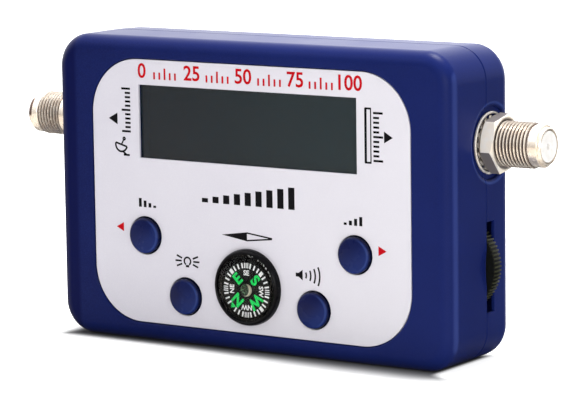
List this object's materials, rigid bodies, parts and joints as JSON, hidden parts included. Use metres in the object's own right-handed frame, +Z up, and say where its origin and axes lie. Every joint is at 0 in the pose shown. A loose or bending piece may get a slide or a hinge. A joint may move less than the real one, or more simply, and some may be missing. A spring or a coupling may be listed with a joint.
{
  "type": "satellite signal meter",
  "caption": "Hand-held inline satellite signal meter with display window, push buttons, compass, side thumbwheel and threaded coaxial connectors.",
  "frame": {"origin": "middle of the flat foot of the case, at half its depth and half its width", "axes": "+Z up, +X towards the connector by the thumbwheel, -Y out of the front panel"},
  "size_m": [0.1296, 0.0271, 0.065],
  "materials": {
    "case_plastic": "fine satin moulding texture",
    "label_print": "satin printed panel",
    "clear_plastic": "polished clear",
    "display_glass": "dark polarizer",
    "diffuser_plastic": "frosted",
    "zebra_rubber": "fine stripes",
    "board_laminate": "green solder mask",
    "chip_resin": "moulded resin",
    "steel": "plated",
    "capacitor_can": "sleeved can",
    "black_plastic": "smooth black",
    "brass": "polished",
    "dial_print": "printed card",
    "nickel": "nickel plating",
    "nylon": "white nylon",
    "button_plastic": "satin moulded"
  },
  "bodies": {
    "case": {"front_shell": "case_plastic", "rear_shell": "case_plastic", "front_label": "label_print", "window_lens": "clear_plastic", "lcd_frame": "black_plastic", "lcd_glass": "display_glass", "backlight": "diffuser_plastic", "zebra_strip": "zebra_rubber", "main_board": "board_laminate", "microcontroller": "chip_resin", "amplifier_chip": "chip_resin", "regulator": "chip_resin", "crystal": "steel", "capacitor_1": "capacitor_can", "capacitor_2": "capacitor_can", "buzzer": "black_plastic", "rf_shield": "steel", "board_screw_1": "steel", "board_screw_2": "steel", "board_screw_3": "steel", "board_screw_4": "steel", "case_screw_1": "steel", "case_screw_2": "steel", "case_screw_3": "steel", "case_screw_4": "steel", "compass_case": "black_plastic", "compass_dome": "clear_plastic", "compass_pivot": "brass", "wheel_pot_body": "black_plastic", "left_connector_shell": "nickel", "left_connector_insulator": "nylon", "left_connector_contact": "nickel", "left_connector_washer": "nickel", "left_connector_nut": "nickel", "right_connector_shell": "nickel", "right_connector_insulator": "nylon", "right_connector_contact": "nickel", "right_connector_washer": "nickel", "right_connector_nut": "nickel", "att_left_switch_body": "black_plastic", "att_right_switch_body": "black_plastic", "light_switch_body": "black_plastic", "buzzer_switch_body": "black_plastic"},
    "att_left_press": {"att_left_button": "button_plastic", "att_left_switch_plunger": "nylon"},
    "att_right_press": {"att_right_button": "button_plastic", "att_right_switch_plunger": "nylon"},
    "light_press": {"light_button": "button_plastic", "light_switch_plunger": "nylon"},
    "buzzer_press": {"buzzer_button": "button_plastic", "buzzer_switch_plunger": "nylon"},
    "compass_card": {"compass_dial": "dial_print", "compass_magnet": "steel"},
    "wheel": {"thumbwheel": "black_plastic", "thumbwheel_screw": "steel"}
  },
  "joints": [
    {"name": "att_left_travel", "type": "slide", "parent": "case", "child": "att_left_press", "axis": [0, 1, 0], "range_m": [0, 0.0005], "stiffness_N_per_m": 600, "springref_m": -0.001},
    {"name": "att_right_travel", "type": "slide", "parent": "case", "child": "att_right_press", "axis": [0, 1, 0], "range_m": [0, 0.0005], "stiffness_N_per_m": 600, "springref_m": -0.001},
    {"name": "light_travel", "type": "slide", "parent": "case", "child": "light_press", "axis": [0, 1, 0], "range_m": [0, 0.0005], "stiffness_N_per_m": 600, "springref_m": -0.001},
    {"name": "buzzer_travel", "type": "slide", "parent": "case", "child": "buzzer_press", "axis": [0, 1, 0], "range_m": [0, 0.0005], "stiffness_N_per_m": 600, "springref_m": -0.001},
    {"name": "compass_spin", "type": "hinge", "parent": "case", "child": "compass_card", "pos_m": [0, -0.01255, 0.0134], "axis": [0, 1, 0], "continuous": true},
    {"name": "wheel_turn", "type": "hinge", "parent": "case", "child": "wheel", "pos_m": [0.0414, 0.00345, 0.02], "axis": [0, 1, 0], "range_deg": [-140, 140]}
  ]
}
